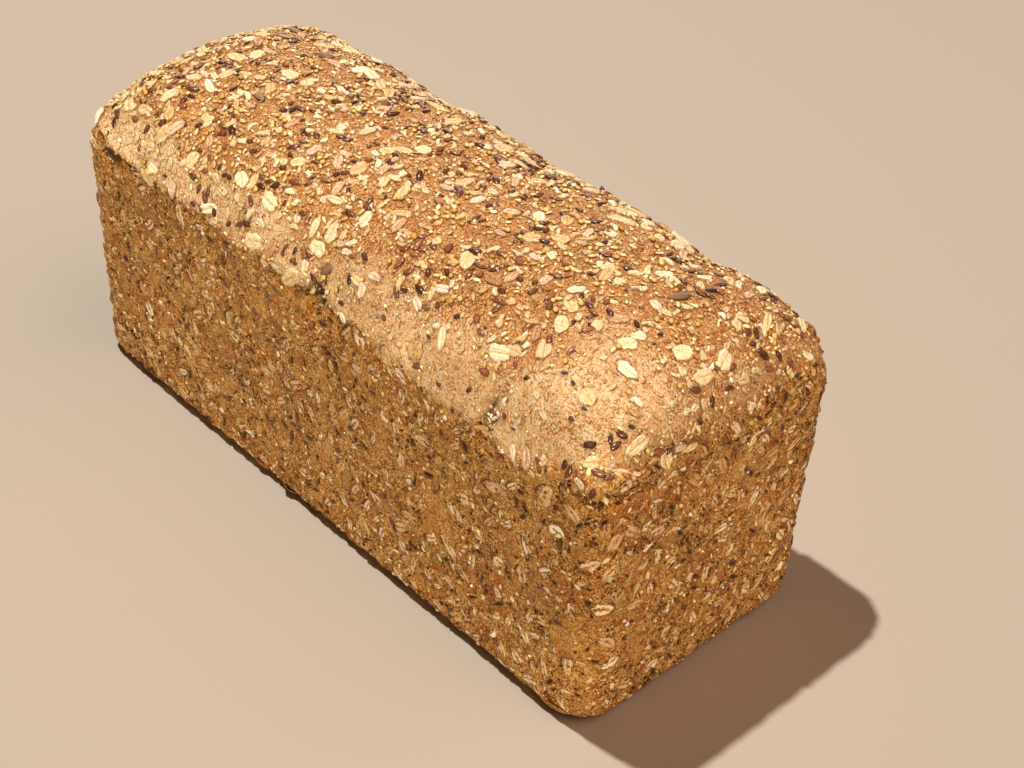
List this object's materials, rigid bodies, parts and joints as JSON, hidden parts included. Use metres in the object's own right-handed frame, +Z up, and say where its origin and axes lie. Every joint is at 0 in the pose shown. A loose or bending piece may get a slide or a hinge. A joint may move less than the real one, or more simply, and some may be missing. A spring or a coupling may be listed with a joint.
{
  "type": "tin loaf",
  "caption": "Long straight-walled tin loaf with a seeded, gently domed crown, rounded corners and a flat base to rest on.",
  "frame": {"origin": "centre of the loaf's footprint, on the plane of its flat base", "axes": "+X along the loaf's length, +Y across its width, +Z up through the crown"},
  "size_m": [0.286, 0.112, 0.1338],
  "materials": {
    "crust": "matt, dry wholemeal crust, ochre brown and paler along the shoulders, covered in seeds and flakes",
    "oat_flake": "matt, dry rolled oat flake",
    "rye_flake": "matt, dry rolled rye flake",
    "linseed": "glossy brown seed coat",
    "millet": "satin yellow grain",
    "sesame": "satin cream seed",
    "kibbled_grain": "matt, dark red-brown broken grain",
    "sunflower_kernel": "satin grey-brown kernel",
    "crumb": "matt, pale dry crumb and bran"
  },
  "bodies": {
    "root": {"loaf": "crust"}
  },
  "joints": []
}
